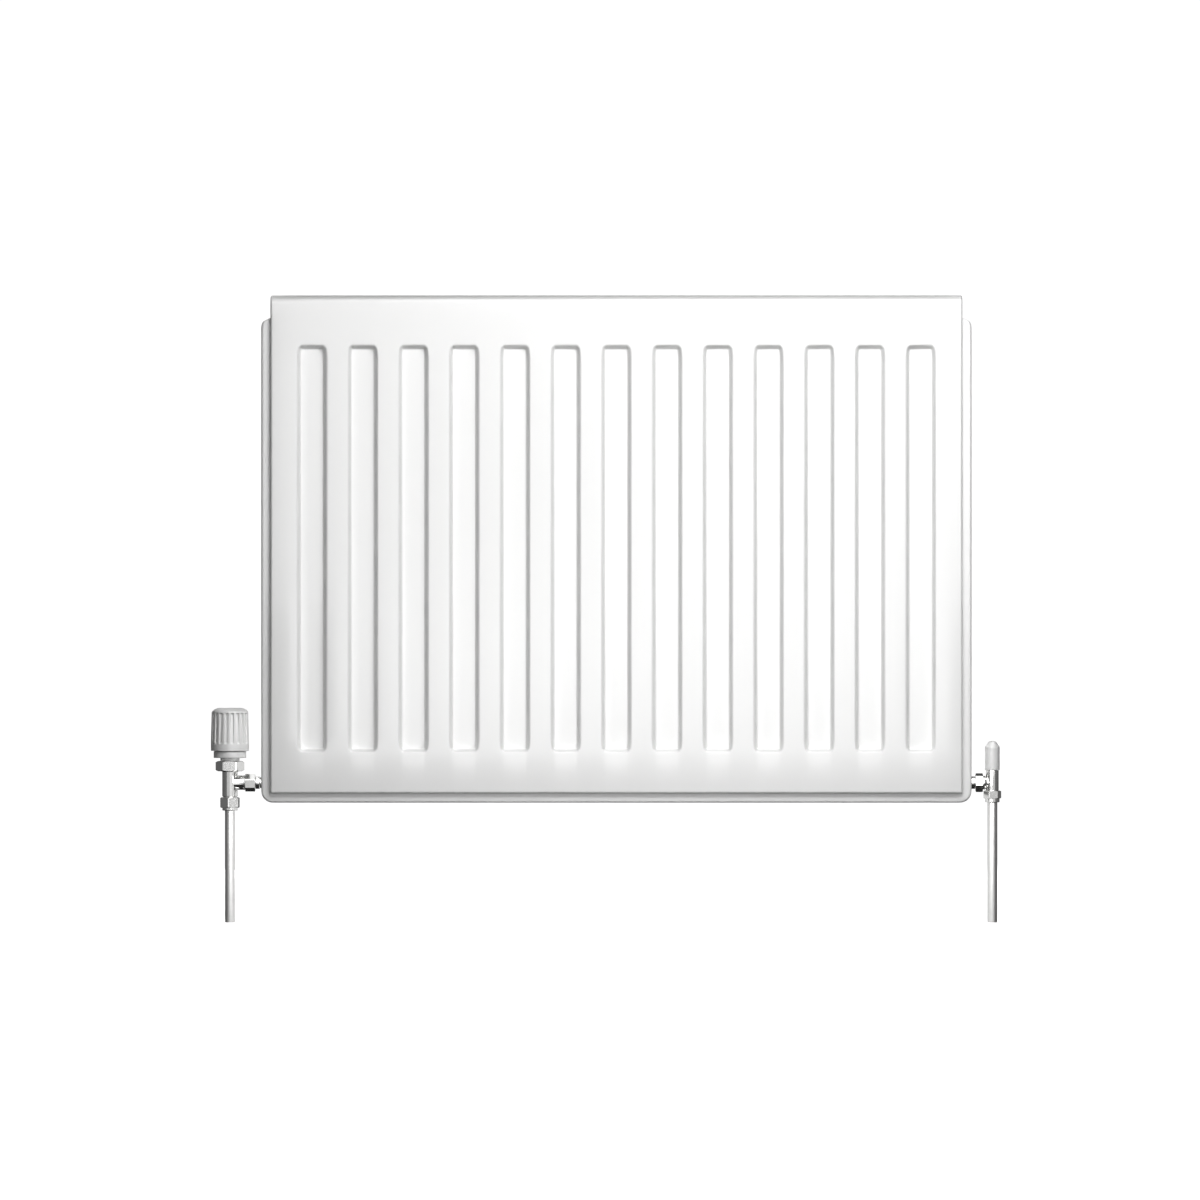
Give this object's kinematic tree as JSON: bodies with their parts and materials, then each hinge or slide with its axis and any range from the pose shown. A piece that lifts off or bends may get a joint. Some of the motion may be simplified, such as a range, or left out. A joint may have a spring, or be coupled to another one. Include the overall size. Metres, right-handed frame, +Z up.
{
  "type": "panel radiator",
  "caption": "Wall-hung pressed steel panel radiator with rolled top, vertical ribs, rear convector, thermostatic valve and lockshield valve on small-bore pipes.",
  "frame": {"origin": "Centre of the bounding box in plan, at the height of the cut pipe ends, which would meet the floor.", "axes": "+X along the radiator to the right as seen from the room, +Y towards the wall, +Z up."},
  "size_m": [0.7806, 0.08, 0.6185],
  "materials": {
    "white_enamel": "gloss white baked enamel over pressed steel",
    "white_plastic": "satin moulded white plastic",
    "grey_plastic": "matt grey moulded plastic",
    "chrome": "bright chrome plate over brass",
    "plated_pipe": "satin plated copper tube",
    "brass": "turned brass",
    "stainless_steel": "drawn stainless steel",
    "black_rubber": "moulded black rubber"
  },
  "bodies": {
    "radiator": {"blanking_plug": "chrome", "blanking_seal": "black_rubber", "bracket_insert_lower_left": "white_plastic", "bracket_insert_lower_right": "white_plastic", "bracket_insert_upper_left": "white_plastic", "bracket_insert_upper_right": "white_plastic", "convector_1": "white_enamel", "convector_2": "white_enamel", "convector_3": "white_enamel", "convector_4": "white_enamel", "front_panel": "white_enamel", "lockshield_body": "chrome", "lockshield_compression_nut": "chrome", "lockshield_gland_nut": "brass", "lockshield_olive": "brass", "lockshield_pipe": "plated_pipe", "lockshield_tail": "chrome", "lockshield_union_nut": "chrome", "lug_lower_left": "white_enamel", "lug_lower_right": "white_enamel", "lug_upper_left": "white_enamel", "lug_upper_right": "white_enamel", "rear_panel": "white_enamel", "tapping_lower_left": "white_enamel", "tapping_lower_right": "white_enamel", "tapping_upper_left": "white_enamel", "tapping_upper_right": "white_enamel", "trv_body": "chrome", "trv_collar_nut": "chrome", "trv_compression_nut": "chrome", "trv_head_base": "white_plastic", "trv_insert": "brass", "trv_olive": "brass", "trv_pipe": "plated_pipe", "trv_return_spring": "stainless_steel", "trv_tail": "chrome", "trv_union_nut": "chrome", "vent_plug": "chrome", "vent_seal": "black_rubber", "wall_bracket_left": "white_enamel", "wall_bracket_right": "white_enamel"},
    "trv_head": {"trv_handwheel": "white_plastic"},
    "trv_sensor_unit": {"trv_sensor": "grey_plastic"},
    "trv_valve_pin": {"trv_spindle": "stainless_steel"},
    "lockshield_cover": {"lockshield_cap": "white_plastic"},
    "lockshield_stem": {"lockshield_spindle": "stainless_steel"},
    "lockshield_closer": {"lockshield_plug": "brass"},
    "vent_screw": {"bleed_screw": "brass"}
  },
  "joints": [
    {"name": "trv_handwheel_turn", "type": "hinge", "parent": "radiator", "child": "trv_head", "pos_m": [-0.37149, -0.0085, 0.188], "axis": [0, 0, 1], "range_deg": [-150, 150]},
    {"name": "trv_sensor_travel", "type": "slide", "parent": "radiator", "child": "trv_sensor_unit", "axis": [0, 0, 1], "range_m": [-0.0011, 0.0011]},
    {"name": "trv_pin_travel", "type": "slide", "parent": "radiator", "child": "trv_valve_pin", "axis": [0, 0, 1], "range_m": [-0.0011, 0.0011], "deforming": ["trv_return_spring"]},
    {"name": "lockshield_cap_lift", "type": "slide", "parent": "radiator", "child": "lockshield_cover", "axis": [0, 0, 1], "range_m": [0, 0.035]},
    {"name": "lockshield_plug_travel", "type": "slide", "parent": "radiator", "child": "lockshield_closer", "axis": [0, 0, 1], "range_m": [-0.001, 0.002]},
    {"name": "lockshield_spindle_turn", "type": "hinge", "parent": "radiator", "child": "lockshield_stem", "pos_m": [0.38141, -0.0085, 0.153], "axis": [0, 0, 1], "range_deg": [-360, 720]},
    {"name": "bleed_screw_turn", "type": "hinge", "parent": "radiator", "child": "vent_screw", "pos_m": [0.34811, -0.0085, 0.5805], "axis": [1, 0, 0], "range_deg": [0, 360]}
  ],
  "couplings": [
    {"joint": "trv_sensor_travel", "follows": "trv_handwheel_turn", "m_per_rad": 0.0004},
    {"joint": "trv_pin_travel", "follows": "trv_handwheel_turn", "m_per_rad": 0.0004},
    {"joint": "lockshield_spindle_turn", "follows": "lockshield_plug_travel", "rad_per_m": 6283.2}
  ]
}
